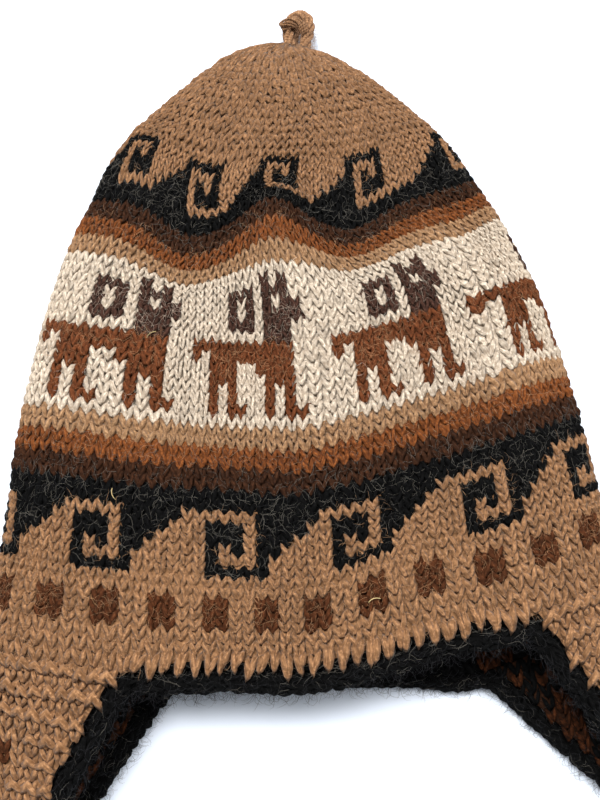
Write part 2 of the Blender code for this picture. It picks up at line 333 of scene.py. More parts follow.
waveChart = (                       # a hook of the lower waves: T is tan, B is black
    "TTTTBBBBBT",
    "BBBTBBBBTT",
    "BBBTBBBTTT",
    "BTBTBBTTTT",
    "BTTTBTTTTT",
    "BBBBBTTTTT",
)
llamaChart = (                      # D is dark, R is chestnut, a dot is cream
    "........D.D...",
    "....DDD.DDD...",
    "....D.D.D.DD..",
    "....D.D.DDDD..",
    "....DDD.DDD...",
    "........DDD...",
    "RRRRRRRRRRR...",
    "R.RRRRRRRRR...",
    "..RRR..RRRR...",
    "..RRR...RRR...",
    "..R.R...R.R...",
    "..R.R...R.R...",
    "..R.RR..R.RR..",
)
lowerHooks = (7, 17, 27, 37, 48, 58, 69, 79, 89, 99, 109)      # first stitch of each figure
llamaTails = (3, 17, 31, 45, 59, 73, 87, 101)
upperHooks = (5, 15, 24, 33, 43, 53, 64, 77, 86, 95)           # stitch after each figure

# where the slack fabric carries the stitches of the llama rows and of the brow
Pull = namedtuple("Pull", "stitch place")
llamaPull = (Pull(0, 0), Pull(20, 19.4), Pull(31, 30.1), Pull(42, 43.8), Pull(45, 46.3), Pull(56, 55.8),
             Pull(59, 59.4), Pull(70, 70.7), Pull(73, 73.6), Pull(75, 77.0), Pull(81, 81.8), Pull(84, 84.4),
             Pull(98, 98), Pull(112, 112))
browPull = (Pull(0, 0), Pull(28, 28.4), Pull(39.2, 40.2), Pull(48.2, 48.9), Pull(57.1, 56.5),
            Pull(66.1, 65.7), Pull(75, 75.2), Pull(84, 84.4), Pull(98, 98), Pull(112, 112))


def offsetFrom(starts, column, count):
    return min((column - start) % count for start in starts)


def lowerWave(row, column, count):
    letter = waveChart[row][min(offsetFrom(lowerHooks, column, count), 9)]
    return "camel" if letter == "T" else "black"


def upperWave(row, column, count):
    # the same hook turned half round
    offset = min((end - 1 - column) % count for end in upperHooks)
    letter = waveChart[-1 - row][min(offset, 9)]
    return "camel" if letter == "T" else "black"


def llamas(row, column, count):
    offset = offsetFrom(llamaTails, column, count)
    if not 0 < row <= len(llamaChart) or offset >= len(llamaChart[0]):
        return "cream"
    if row < 7 and 73 <= column < 87:      # the head of the last one lies over the fold
        offset = max(offset - 4, 0)
    return {"D": "umber", "R": "chestnut", ".": "cream"}[llamaChart[row - 1][offset]]


def squares(row, column, count):
    return "russet" if column % 4 > 1 else "camel"


# rows of one pattern, from the peak to the brow: where they start in millimetres down, how
# many there are, the stitches of the ring, or None where they follow its size, and the yarn or chart
Band = namedtuple("Band", "top rows count pattern")
bands = (
    Band(-1.5, 17, None, "camel"),
    Band(64.5, 6, 100, upperWave),
    Band(87.0, 2, 100, "black"),
    Band(95.0, 2, 106, "brown"),
    Band(102.7, 2, 106, "rust"),
    Band(110.3, 2, 106, "sand"),
    Band(118.0, 15, ringStitches, llamas),
    Band(181.0, 2, ringStitches, "sand"),
    Band(188.7, 2, ringStitches, "rust"),
    Band(196.3, 2, ringStitches, "brown"),
    Band(204.0, 2, ringStitches, "black"),
    Band(211.2, 6, ringStitches, lowerWave),
    Band(232.6, 2, 106, "camel"),
    Band(239.6, 3, 100, squares),
    Band(250.4, 3, 100, "camel"),
)
knit = {
    "crownStitch": 3.35 * mm,       # width of a stitch above the waves
    "peakStitch": 0.75 * mm,        # what the peak's stitches add to that
    "decreaseEvery": 2,             # rows between decreases there
    "flapRow": 3.85 * mm,
    "flapStitches": 100,
    "pulls": (                      # first and last row that the slack carries, and how far it fades
        (llamaPull, 118 * mm, 181 * mm, 15 * mm),
        (browPull, 239 * mm, 265 * mm, 9 * mm),
    ),
    "peakTurn": 0.31,               # stitches that the peak's columns stray between decreases
    "legWidth": 0.43,               # shares of a stitch
    "legLength": 1.66,              # shares of a row
    "leanLength": 1.35,             # of the slope that a leg leans along
    "legDrop": 0.46,                # from a stitch's top to a leg's middle
    "fullStitch": 4.2 * mm,         # width of a stitch of full thickness
    "thickest": 1.1,
    "tone": (0.9, 0.09, 0.6),       # usual, its spread and the least
    "lastStray": 1.0 * mm,          # along the brow
    "lastSlant": (-0.34, 0.14),     # from its left to its right
    "sideJitter": 0.085,            # shares of a stitch
    "sizeJitter": 0.16,
    "turnJitter": 0.16,
    "heightJitter": 0.18 * mm,
    "wander": 0.55 * mm,            # how far rows and columns stray
    "wanderScale": 55,
    "bottomRoom": 1.15 * mm,        # the underside's yarn lies this thick on the floor
    "flatRing": 0.5,                # metres of flat work for one ring
}
KnitRow = namedtuple("KnitRow", "top height count pattern index")

# how a stitch's legs lie: their distance and lean in shares of a stitch, how much longer and wider
# they are, how high they lie, what is added to their tone and how freely they turn
Look = namedtuple("Look", "aside lean longer plump lift toneShift stray")
looks = {
    "plain": Look(0.235, 0.46, 1.0, 1.0, 0.0, 0.0, 1.0),
    # the peak's stitches take a lower tone, painted shade that darkens the top of the crown
    "peak": Look(0.235, 0.78, 1.0, 1.06, 0.0, -0.14, 2.0),
    "last": Look(0.15, 0.28, 1.27, 1.34, 0.5 * mm, 0.0, 1.4),       # along the brow, on its edging
}


def knitRows():
    rows = []
    tops = [band.top for band in bands] + [hatForm["hemDown"] / mm]
    for band, below in zip(bands, tops[1:]):
        height = (below - band.top) / band.rows
        for index in range(band.rows):
            count = band.count
            if count is None:
                group = index - index % knit["decreaseEvery"] + 1
                ring = lyingRow((band.top + height * group) * mm)
                stitch = knit["crownStitch"] + knit["peakStitch"] * (1 - group / band.rows)
                count = 2 * round(ring.lengths[-1] / stitch / 2)
            rows.append(KnitRow((band.top + height * index) * mm, height * mm, count, band.pattern, index))
    return rows


def yarnOf(row, column):
    if isinstance(row.pattern, str):
        return row.pattern
    return row.pattern(row.index, column, row.count)


allRows = knitRows()


def pulled(row, column):
    # a stitch's place from the middle of the back, as a share of the ring, and its room
    turn = knit["peakTurn"] * (row.index // knit["decreaseEvery"]) if row.top < bands[1].top * mm else 0.0
    stitch = (column + 0.5 + turn) / row.count * ringStitches
    moved, spread = stitch, 1.0
    for table, top, bottom, fade in knit["pulls"]:
        weight = eased(1 - max(top - row.top, row.top - bottom, 0.0) / fade)
        room = smoothed(table, stitch + 0.5).place - smoothed(table, stitch - 0.5).place
        moved += (smoothed(table, stitch).place - stitch) * weight
        spread += (room - 1) * weight
    return moved / ringStitches, spread


rowPlaces = {id(row): [pulled(row, column) for column in range(row.count)] for row in allRows}


def yarnAt(down, part):
    # the yarn of the stitch at a place of the crown
    row = next((row for row in allRows if row.top <= down < row.top + row.height), allRows[-1])
    share = (part - backMiddle) / hatForm["ringParts"] % 1.0
    places = [place for place, room in rowPlaces[id(row)]]
    spot = bisect_right(places, share)
    near = min((spot - 1, spot), key=lambda column: abs(places[column % row.count] - share))
    return yarnOf(row, near % row.count)


# building blocks

nodeSlots = {
    "crown": "camel_knit", "ear_flap_left": "camel_knit", "ear_flap_right": "camel_knit",
    "crown_lining": "dark_knit", "flap_lining_left": "dark_knit", "flap_lining_right": "dark_knit",
    "brow_edging": "black_crochet", "top_loop": "camel_yarn",
}
knitPieces = []


def linkPiece(name, mesh):
    piece = bpy.data.objects.new(name, mesh)
    bpy.context.scene.collection.objects.link(piece)
    return piece


def keep(piece, node, slot=None):
    # notes which node a piece stands for
    knitPieces.append((piece, node, slot or nodeSlots[node]))
    return piece


def meshFrom(shape, name, materials=()):
    # the finished mesh, its faces pointing outwards
    bmesh.ops.recalc_face_normals(shape, faces=shape.faces)
    if shape.calc_volume(signed=True) < 0:
        bmesh.ops.reverse_faces(shape, faces=shape.faces)
    mesh = bpy.data.meshes.new(name)
    shape.to_mesh(mesh)
    shape.free()
    for material in materials:
        mesh.materials.append(material)
    return mesh


def vertexGrid(shape, lines, layer, level):
    grid = [[shape.verts.new(point) for point in line] for line in lines]
    for line in grid:
        for corner in line:
            corner[layer] = level
    return grid


class Value:
    # wraps a node's output so that expressions add Math nodes

    def __init__(self, nodes, socket):
        self.nodes, self.socket = nodes, socket

    def math(self, operation, *others):
        return self.nodes.add("ShaderNodeMath", {"operation": operation}, self, *others)

    def other(self, name):
        # another output of the same node
        return Value(self.nodes, self.socket.node.outputs[name])

    def __add__(self, other):
        return self.math("ADD", other)

    def __sub__(self, other):
        return self.math("SUBTRACT", other)

    def __mul__(self, other):
        return self.math("MULTIPLY", other)

    def __rsub__(self, other):
        return self.nodes.add("ShaderNodeMath", {"operation": "SUBTRACT"}, other, self)

    __radd__ = __add__
    __rmul__ = __mul__


class Nodes:
    # adds nodes to one tree: its type, its settings, then the values or links of its sockets,
    # in their order, by number where names repeat, or by name

    def __init__(self, tree):
        self.tree = tree

    def add(self, kind, settings=None, *values, out=0, at=None, **named):
        node = self.tree.nodes.new(kind)
        for key, setting in (settings or {}).items():
            setattr(node, key, setting)
        for key, value in [*enumerate(values), *(at or {}).items()]:
            self.fill(node.inputs[key], value)
        self.fillNamed(node, named)
        return Value(self, node.outputs[out])

    def fill(self, socket, value):
        if isinstance(value, Value):
            self.tree.links.new(value.socket, socket)
        elif value is not None:
            socket.default_value = value

    def fillNamed(self, node, named):
        for key, value in named.items():
            self.fill(node.inputs[key.replace("_", " ")], value)

    def shade(self, **named):
        self.fillNamed(self.tree.nodes["Principled BSDF"], named)


def newTree(name, inputs):
    # a geometry tree with named inputs; returns its nodes and the inputs by name
    tree = bpy.data.node_groups.new(name, "GeometryNodeTree")
    tree.interface.new_socket("Geometry", in_out="OUTPUT", socket_type="NodeSocketGeometry")
    for label, kind in {"Geometry": "NodeSocketGeometry", **inputs}.items():
        tree.interface.new_socket(label, in_out="INPUT", socket_type=kind)
    nodes = Nodes(tree)
    entry = tree.nodes.new("NodeGroupInput")
    return nodes, {socket.name: Value(nodes, socket) for socket in entry.outputs if socket.name}


def closeTree(nodes, geometry):
    end = nodes.tree.nodes.new("NodeGroupOutput")
    nodes.fill(end.inputs[0], geometry)
    return nodes.tree


def aboveFloor(nodes, geometry):
    # yarn that would hang below the floor lies on it
    x = nodes.add("ShaderNodeSeparateXYZ", None, nodes.add("GeometryNodeInputPosition"))
    z = x.other("Z").math("MAXIMUM", floorRoom)
    raised = nodes.add("ShaderNodeCombineXYZ", None, x, x.other("Y"), z)
    return nodes.add("GeometryNodeSetPosition", None, geometry, Position=raised)


def attribute(nodes, name, kind):
    return nodes.add("GeometryNodeInputNamedAttribute", {"data_type": kind}, name)


def grown(maker, tree, values, name):
    # the plain mesh that a tree makes from a maker object, as a new piece
    modifier = maker.modifiers.new(tree.name, "NODES")
    modifier.node_group = tree
    for item in tree.interface.items_tree:
        if item.item_type == "SOCKET" and item.in_out == "INPUT" and item.name in values:
            modifier[item.identifier] = values[item.name]
    ready = maker.evaluated_get(bpy.context.evaluated_depsgraph_get())
    mesh = bpy.data.meshes.new_from_object(ready)
    maker.modifiers.clear()
    bpy.data.objects.remove(maker)
    mesh.name = name
    return linkPiece(name, mesh)


# materials

def linear(colour):
    parts = [((part / 255 + 0.055) / 1.055) ** 2.4 if part > 10 else part / 255 / 12.92 for part in colour]
    return (*parts, 1.0)


def scaled(colour, share):
    return linear([part * share for part in colour])


def mixed(nodes, factor, first, second):
    return nodes.add("ShaderNodeMix", {"data_type": "RGBA", "clamp_factor": True}, out=2,
                     at={0: factor, 6: first, 7: second})


def noiseOn(nodes, place, scale, detail, roughness=0.5):
    return nodes.add("ShaderNodeTexNoise", None, place, Scale=scale, Detail=detail, Roughness=roughness)


def newMaterial(name, colour):
    material = bpy.data.materials.new(name)
    material.use_nodes = True
    material.diffuse_color = linear(colour)
    return material, Nodes(material.node_tree)


def woolMaterial(name, yarn, plies=2.5):
    # twisted wool: plies and fibres follow the strand's own UV, tone varies by stitch, and a low tone darkens
    # shells, cords and the loop's inner side as painted shade
    material, nodes = newMaterial(name, yarn.colour)
    place = nodes.add("ShaderNodeTexCoord", out="Object")
    tone = nodes.add("ShaderNodeAttribute", {"attribute_name": "tone"}, out="Fac")
    along = nodes.add("ShaderNodeSeparateXYZ", None, nodes.add("ShaderNodeUVMap", {"uv_map": "strand"}))
    around = along.other("Y")
    stretched = nodes.add("ShaderNodeCombineXYZ", None, along * 2.2 + around * 2.0, around * 9.0, tone * 90.0)
    fibre = noiseOn(nodes, stretched, 1.0, 3.0, 0.7)
    patches = noiseOn(nodes, place, 26.0, 3.0)
    specks = noiseOn(nodes, place, 1100.0, 2.0)
    ply = ((along * plies + around) * 2 * math.pi).math("SINE") * 0.5 + 0.5
    level = fibre * 2.2 + ply * 0.45 + specks * 0.8 + patches * 0.6 - 1.4
    body = mixed(nodes, level, linear(yarn.dark), linear(yarn.colour))
    light = linear([min(part * 1.16 + 7, 255) for part in yarn.colour])
    lit = mixed(nodes, (specks + fibre - 1.06) * 5.0, body, light)
    height = ply * 0.6 + fibre * 1.2 + specks * 0.7
    bump = nodes.add("ShaderNodeBump", None, Strength=0.8, Distance=0.0006, Height=height)
    # a low tone pulls the colour towards half the yarn's dark colour: random per stitch, and painted shade
    # where shells and cords are given a low tone
    nodes.shade(Base_Color=mixed(nodes, 1.0 - tone, lit, scaled(yarn.dark, 0.5)), Normal=bump,
                Roughness=0.82 + fibre * 0.15, Specular_IOR_Level=0.08, Sheen_Weight=yarn.sheen,
                Sheen_Roughness=0.5)
    return material


def hairMaterial(name, colour):
    material, nodes = newMaterial(name, colour)
    patches = noiseOn(nodes, nodes.add("ShaderNodeTexCoord", out="Object"), 140.0, 1.0)
    nodes.shade(Base_Color=mixed(nodes, patches * 1.6 - 0.3, scaled(colour, 0.55), linear(colour)),
                Roughness=0.55 + patches * 0.2, Specular_IOR_Level=0.3)
    return material


wool = {name: woolMaterial(name + "_wool", yarn) for name, yarn in yarns.items()}
print("stage: wool dyed")


# unseen guide sheets that flat work is laid on

fabricSlack = ((0.75, 34, Vector((0, 0, 0))), (0.35, 90, Vector((7, 3, 1))))     # millimetres, scale, start


def wavy(point, outward):
    # slack of the lying fabric
    amount = sum(height * noise.noise(point * scale + start) for height, scale, start in fabricSlack)
    return point + outward * amount * mm


def guideSheet(name, lines, flatPlaces, facing=1.0, slack=False):
    rowCount, columns = len(lines), len(lines[0])
    outwards = []
    for spot, line in enumerate(lines):
        above, below = lines[max(spot - 1, 0)], lines[min(spot + 1, rowCount - 1)]
        for column in range(columns):
            before, after = max(column - 1, 0), min(column + 1, columns - 1)
            across = line[after] - line[before]
            downward = below[column] - above[column]
            outwards.append(downward.cross(across).normalized() * facing)
    points = [point for line in lines for point in line]
    if slack:
        points = [wavy(point, outward) for point, outward in zip(points, outwards)]
        for point in points:
            point.z = max(point.z, knit["bottomRoom"])
    faces = []
    for spot in range(rowCount - 1):
        for column in range(columns - 1):
            first = spot * columns + column
            faces.append((first, first + columns, first + columns + 1, first + 1))
    mesh = bpy.data.meshes.new(name)
    mesh.from_pydata(points, [], faces)
    uv = mesh.uv_layers.new(name="flat")
    flat = [flatPlaces[vertex.index // columns][vertex.index % columns] for vertex in mesh.vertices]
    for loop in mesh.loops:
        uv.data[loop.index].uv = flat[loop.vertex_index]
    spots = mesh.attributes.new("outward", "FLOAT_VECTOR", "POINT")
    spots.data.foreach_set("vector", [value for outward in outwards for value in outward])
    return linkPiece(name, mesh)


def flatX(part):
    return part / hatForm["ringParts"] * knit["flatRing"]


guideForm = {
    "parts": [-9 + step * 0.25 for step in range(281)],     # a little more than once round
    "peakDowns": [(-2 + step) * mm for step in range(11)],
    "outerDowns": [(10 + 2 * step) * mm for step in range(180)],
    "innerDowns": [(206 + 2 * step) * mm for step in range(82)],
    "peakShare": 0.75,              # how far the first line closes over the peak
    "peakReach": Vector((0, 1.2 * mm, 0)),
    "peakFlat": 5 * mm,
}


def hatGuide(name, downs, depth, facing):
    # the hat's outer or inner face
    lines = [[onHat(part, down, depth) for part in guideForm["parts"]] for down in downs]
    flat = [[(facing * flatX(part), -down) for part in guideForm["parts"]] for down in downs]
    if depth == 0:
        middle = sum(lines[0], Vector()) / len(lines[0])
        lines.insert(0, [point.lerp(middle, guideForm["peakShare"]) + guideForm["peakReach"]
                         for point in lines[0]])
        flat.insert(0, [(x, y + guideForm["peakFlat"]) for x, y in flat[0]])
    return guideSheet(name, lines, flat, facing, slack=True)


outerGuide = hatGuide("outer_guide", guideForm["peakDowns"] + guideForm["outerDowns"], 0.0, 1.0)
insideDepth = hatForm["knitWall"] + hatForm["gap"] + hatForm["liningWall"]
innerGuide = hatGuide("inner_guide", guideForm["innerDowns"], insideDepth, -1.0)
print("stage: guides laid")


# tubes, and the strands that repeat: the legs of a knit stitch, a purl bump

def heading(points, spot, closed=False):
    # the direction of a line of points at one of them
    count = len(points)
    ends = [(spot + step) % count if closed else min(max(spot + step, 0), count - 1) for step in (-1, 1)]
    return (points[ends[1]] - points[ends[0]]).normalized()


def squareTo(along, vector):
    return (vector - along * vector.dot(along)).normalized()


def ringPoint(here, side, other, radius, turn):
    return here + (side * math.cos(turn) + other * math.sin(turn)) * radius


def pointedTube(name, rings, sides):
    # a tube that closes to a point at both ends, with its own UV along and around
    shape = bmesh.new()
    uv = shape.loops.layers.uv.new("strand")
    grid = [[shape.verts.new(point) for point in ring] for ring in rings]
    for spot, (first, second) in enumerate(zip(grid, grid[1:])):
        for side in range(sides):
            places = {}
            for ring, along, turn in ((first, spot, side), (first, spot, side + 1),
                                      (second, spot + 1, side + 1), (second, spot + 1, side)):
                places.setdefault(ring[turn % len(ring)], (along / (len(rings) - 1), turn / sides))
            face = shape.faces.new(list(places))
            face.smooth = True
            for loop, place in zip(face.loops, places.values()):
                loop[uv].uv = place
    return meshFrom(shape, name)


def strandPiece(name, path, sides=5):
    # a strand through its stations, the first and the last without width
    middle = [Vector(station[:2]) for station in path]
    rings = []
    for spot, (x, y, z, wide, thick) in enumerate(path):
        along = heading(middle, spot)
        ring = []
        for side in range(sides):
            turn = 2 * math.pi * (side + 0.25) / sides
            reach = wide * math.cos(turn)
            ring.append((x - along.y * reach, y + along.x * reach, (z + thick * math.sin(turn)) * mm))
        rings.append(ring if wide else ring[:1])
    return linkPiece(name, pointedTube(name, rings, sides))


# stations of one leg of a knit stitch: across and along in shares of its width and length,
# height in millimetres, then half its width and half its thickness
legPath = (
    (0.0, 0.50, -0.55, 0, 0),
    (0.0, 0.27, 0.20, 0.40, 0.75),
    (0.0, -0.02, 0.45, 0.50, 0.95),
    (0.0, -0.30, 0.15, 0.40, 0.80),
    (0.0, -0.50, -0.45, 0, 0),
)
plainPath = (
    (0.0, 0.50, -0.55, 0, 0),
    (0.0, 0.20, 0.35, 0.48, 0.90),
    (0.0, -0.22, 0.30, 0.48, 0.90),
    (0.0, -0.50, -0.45, 0, 0),
)
# stations of a purl bump, in shares of a stitch and of a row
bumpPath = (
    (-0.56, -1.00, -0.70, 0, 0),
    (-0.34, -0.50, 0.45, 0.24, 0.85),
    (0.0, -0.16, 0.90, 0.30, 1.00),
    (0.34, -0.50, 0.45, 0.24, 0.85),
    (0.56, -1.00, -0.70, 0, 0),
)
knitLeg = strandPiece("knit_leg", legPath)
underLeg = strandPiece("under_leg", plainPath, 3)      # where little of it shows
purlStitch = strandPiece("purl_stitch", bumpPath)


def layingTree():
    # instances of a stitch on flat points, wrapped on a guide through its UV map
    nodes, given = newTree("lay_stitches", {"Stitch": "NodeSocketObject", "Guide": "NodeSocketObject"})
    stitch = nodes.add("GeometryNodeObjectInfo", None, given["Stitch"], out="Geometry")
    guide = nodes.add("GeometryNodeObjectInfo", None, given["Guide"], out="Geometry")
    turn = nodes.add("ShaderNodeCombineXYZ", None, 0.0, 0.0, attribute(nodes, "turn", "FLOAT"))
    laid = nodes.add("GeometryNodeInstanceOnPoints", None, Points=given["Geometry"], Instance=stitch,
                     Rotation=turn, Scale=attribute(nodes, "size", "FLOAT_VECTOR"))
    real = nodes.add("GeometryNodeRealizeInstances", None, laid)
    place = nodes.add("GeometryNodeInputPosition")
    height = nodes.add("ShaderNodeSeparateXYZ", None, place, out="Z")
    flat = attribute(nodes, "flat", "FLOAT_VECTOR")
    sampled = [nodes.add("GeometryNodeSampleUVSurface", {"data_type": "FLOAT_VECTOR"},
                         guide, source, flat, place)
               for source in (place, attribute(nodes, "outward", "FLOAT_VECTOR"))]
    lifted = nodes.add("ShaderNodeVectorMath", {"operation": "SCALE"}, sampled[1], Scale=height)
    target = nodes.add("ShaderNodeVectorMath", {"operation": "ADD"}, sampled[0], lifted)
    shaped = aboveFloor(nodes, nodes.add("GeometryNodeSetPosition", None, real, Position=target))
    yarn = attribute(nodes, "yarn", "INT")
    for number, name in enumerate(yarnNames):
        match = nodes.add("FunctionNodeCompare", {"data_type": "INT", "operation": "EQUAL"},
                          at={2: yarn, 3: number})
        shaped = nodes.add("GeometryNodeSetMaterial", None, shaped, match, wool[name])
    return closeTree(nodes, shaped)


layStitches = layingTree()
Stitch = namedtuple("Stitch", "x y wide tall thick turn height yarn tone")


def stitchPiece(name, stitches, guide, shape=knitLeg):
    # flat points with what each stitch needs to know, then the tree
    mesh = bpy.data.meshes.new(name)
    mesh.from_pydata([(stitch.x, stitch.y, stitch.height) for stitch in stitches], [], [])
    columns = {
        "size": ("FLOAT_VECTOR", "vector", [value for s in stitches for value in (s.wide, s.tall, s.thick)]),
        "turn": ("FLOAT", "value", [stitch.turn for stitch in stitches]),
        "tone": ("FLOAT", "value", [stitch.tone for stitch in stitches]),
        "yarn": ("INT", "value", [yarnNames.index(stitch.yarn) for stitch in stitches]),
    }
    for label, (kind, field, values) in columns.items():
        mesh.attributes.new(label, kind, "POINT").data.foreach_set(field, values)
    return grown(linkPiece(name + "_points", mesh), layStitches, {"Stitch": shape, "Guide": guide}, name)


def bumpOf(chance, x, y, wide, tall, thick, yarn, turn=0.0, stray=1.0):
    # one strand at a flat place, with its own small differences
    spread = knit["sizeJitter"]
    usual, toneSpread, least = knit["tone"]
    return Stitch(
        x + chance.uniform(-1, 1) * knit["sideJitter"] * wide,
        y + chance.uniform(-1, 1) * knit["sideJitter"] * tall,
        wide * chance.uniform(1 - spread, 1 + spread),
        tall * chance.uniform(1 - spread, 1 + spread),
        thick * chance.uniform(1 - spread, 1 + spread),
        turn + chance.uniform(-1, 1) * knit["turnJitter"] * stray,
        chance.uniform(-1, 1) * knit["heightJitter"],
        yarn,
        min(max(chance.gauss(usual, toneSpread), least), 1.0),
    )


def legsOf(chance, x, y, wide, tall, thick, yarn, look=looks["plain"], slant=0.0):
    # the two legs of a knit stitch whose top middle is at a flat place
    lean = math.atan2(look.lean * wide, knit["leanLength"] * tall * look.longer)
    length = knit["legLength"] * tall / math.cos(lean) * look.longer
    legs = []
    for side in (-1, 1):
        leg = bumpOf(chance, x + side * look.aside * wide, y - knit["legDrop"] * tall * look.longer,
                     knit["legWidth"] * wide * look.plump, length, thick * look.plump, yarn,
                     slant - side * lean, look.stray)
        legs.append(leg._replace(height=leg.height + look.lift, tone=leg.tone + look.toneShift))
    return legs


def flatPlace(part, down, facing=1.0):
    # where a stitch lies in flat work, with the straying of real rows and columns
    x, y = facing * flatX(part), -down
    spot = Vector((x * knit["wanderScale"], y * knit["wanderScale"], 2.5))
    stray = knit["wander"]
    return x + noise.noise(spot) * stray, y + noise.noise(spot + Vector((31, 17, 5))) * stray


def thickness(down, count):
    return min(lyingRow(round(down, 3)).lengths[-1] / count / knit["fullStitch"], knit["thickest"])


def archShare(part):
    # how far along the brow's or the nape's arch a place lies, or None outside them
    for first, last, height in hatForm["arches"]:
        if first < part < last:
            return (part - first) / (last - first)
    return None


def lookOf(row, part):
    # the look of a stitch, and its slant
    share = archShare(part)
    if row is allRows[-1] and share is not None:
        start, stop = knit["lastSlant"]
        return looks["last"], start + (stop - start) * share
    return looks["peak" if row.top < bands[1].top * mm else "plain"], 0.0


def crownStitches(rows, seed):
    # the stitches of the upper side and of the underside
    chance = random.Random(seed)
    upper, under = [], []
    for row in rows:
        thick = thickness(row.top, row.count)
        for column, (place, room) in enumerate(rowPlaces[id(row)]):
            part = (backMiddle + place * hatForm["ringParts"]) % hatForm["ringParts"]
            look, slant = lookOf(row, part)
            x, y = flatPlace(part, row.top)
            if look is looks["last"]:
                y += chance.uniform(-1, 1) * knit["lastStray"]
            side = under if rightFold + 1 < part < hatForm["ringParts"] - 1 else upper
            side += legsOf(chance, x, y, room * knit["flatRing"] / row.count, row.height, thick,
                           yarnOf(row, column), look, slant)
    return upper, under


# shells of ground fabric behind the stitches, their colour darkened by a tone as painted shade in the gaps

def closedShell(name, grids, tones, ringed, yarnFor):
    # an outer and an inner grid of points joined round their rims; their shade tones darken the yarn's colour
    # as painted shade
    shape = bmesh.new()
    tone = shape.verts.layers.float.new("tone")
    sheets = [vertexGrid(shape, lines, tone, level) for lines, level in zip(grids, tones)]
    columns = len(grids[0][0])
    for side, sheet in enumerate(sheets):
        for spot, (above, below) in enumerate(zip(sheet, sheet[1:])):
            for column in range(columns if ringed else columns - 1):
                after = (column + 1) % columns
                face = shape.faces.new((above[column], below[column], below[after], above[after]))
                face.material_index = yarnNames.index(yarnFor(side, spot, column))
                face.smooth = True
    if ringed:
        for sheet in sheets:
            middle = sum((corner.co for corner in sheet[0]), Vector()) / columns
            tip = shape.verts.new(middle + ground["tip"])
            tip[tone] = tones[0]
            for column in range(columns):
                shape.faces.new((tip, sheet[0][column], sheet[0][(column + 1) % columns])).smooth = True
        rims = [sheet[-1] for sheet in sheets]
    else:
        rims = []
        for sheet in sheets:
            right, left = [line[-1] for line in sheet[1:]], [line[0] for line in sheet[-2:0:-1]]
            rims.append(sheet[0] + right + sheet[-1][-2::-1] + left)
    count = len(rims[0])
    for spot in range(count):
        after = (spot + 1) % count
        face = shape.faces.new((rims[0][spot], rims[0][after], rims[1][after], rims[1][spot]))
        face.material_index = yarnNames.index("black")
    return linkPiece(name, meshFrom(shape, name, wool.values()))


ground = {                          # pairs are for the outer and the inner face
    "crownDepths": (0.5 * mm, 4.2 * mm),
    "liningDepths": (4.9 * mm, insideDepth - 0.7 * mm),
    "crownTops": (-0.5 * mm, 6 * mm),
    "liningTops": (8 * mm, 11 * mm),
    # shade tones darken the ground's colour: painted shade in the gaps between the stitches and on the inner
    # faces
    "crownTones": (0.78, 0.3),
    "flapTones": (0.78, 0.4),
    "liningTones": (0.5, 0.55),
    "crownFaces": (132, 68),        # round it and down it
    "liningFaces": (90, 44),
    "tip": Vector((0, -0.5 * mm, 0)),       # where it closes, from the middle of its first line
    "pastHem": 0.5 * mm,
    "lastRow": 2.3 * mm,
    "lastDown": hatForm["hemDown"] - 2.5 * mm,      # the last row's middle is below this
    "flapSteps": (1.0, 0.98, 0.96, 0.93, 0.9, 0.86, 0.82, 0.77, 0.72, 0.66, 0.6, 0.53, 0.46, 0.38,
                  0.3, 0.21, 0.12),
    "flapColumns": 40,
    "flapDrop": 0.2 * mm,
    "liningMargin": 0.02,
}


def groundPoint(part, down, depth):
    point = onHat(part, down, depth)
    point.z = max(point.z, floorRoom)
    return point


def crownGround(name, faces, depths, tops, tones, yarnFor):
    # a bag from the peak to the brow
    columns, steps = faces
    stop = hatForm["hemDown"] + ground["pastHem"]
    parts = [hatForm["ringParts"] * step / columns for step in range(columns)]
    half = hatForm["ringParts"] / columns / 2
    grids = []
    for depth, first in zip(depths, tops):
        downs = [first + (stop - first) * step / steps for step in range(steps + 1)]
        downs[-2] = stop - ground["lastRow"]
        grids.append([[groundPoint(part, down, depth) for part in parts] for down in downs])
    middles = [tops[0] + (stop - tops[0]) * (step + 0.5) / steps for step in range(steps)]
    return closedShell(name, grids, tones, True,
                       lambda side, spot, column: yarnFor(side, middles[spot], parts[column] + half))


def crownGroundYarn(side, down, part):
    # black inside, and between the last stitches over the edging
    return "black" if side or archShare(part) and down > ground["lastDown"] else yarnAt(down, part)


crown = keep(crownGround("crown_ground", ground["crownFaces"], ground["crownDepths"], ground["crownTops"],
                         ground["crownTones"], crownGroundYarn), "crown")
sections = {                        # millimetres down
    "crown_knit_peak": (-9, 95),
    "crown_knit_figures": (95, 196),
    "crown_knit_brow": (196, 300),
}
underside = []
for number, (name, (top, bottom)) in enumerate(sections.items()):
    rows = [row for row in allRows if top * mm <= row.top + 0.1 * mm < bottom * mm]
    upper, under = crownStitches(rows, seeds["crown"] + number)
    underside += under
    keep(stitchPiece(name, upper, outerGuide), "crown")
keep(stitchPiece("crown_knit_under", underside, outerGuide, underLeg), "crown")
print("stage: crown knitted")


# lining and flaps

lining = {
    "patchRound": 5.1,              # scale of its patches
    "patchDown": 102,
    "duskyAbove": 0.12,
    "rows": 5,                      # knitted where it shows at the brow
}


def liningYarn(part, down):
    # rust and black patches
    turn = 2 * math.pi * part / hatForm["ringParts"]
    reach = lining["patchRound"]
    level = noise.noise(Vector((math.cos(turn) * reach, math.sin(turn) * reach, down * lining["patchDown"])))
    return "dusky" if level > lining["duskyAbove"] else "black"


def flapEdges(flap, step):
    fold = 0.0 if flap is leftFlap else rightFold
    below = 1 - step * step
    width = step * (1 - flap.narrowing * below)
    down = hatForm["hemDown"] + hatForm["flapLength"] * below
    return down, fold + (flap.first - fold) * width, fold + (flap.last - fold) * width


def flapSpan(flap, down):
    # the flap's two edges in ring parts, at a distance down
    below = (down - hatForm["hemDown"]) / hatForm["flapLength"]
    step = math.sqrt(max(1 - below, 0.0))
    return flapEdges(flap, step)[1:]


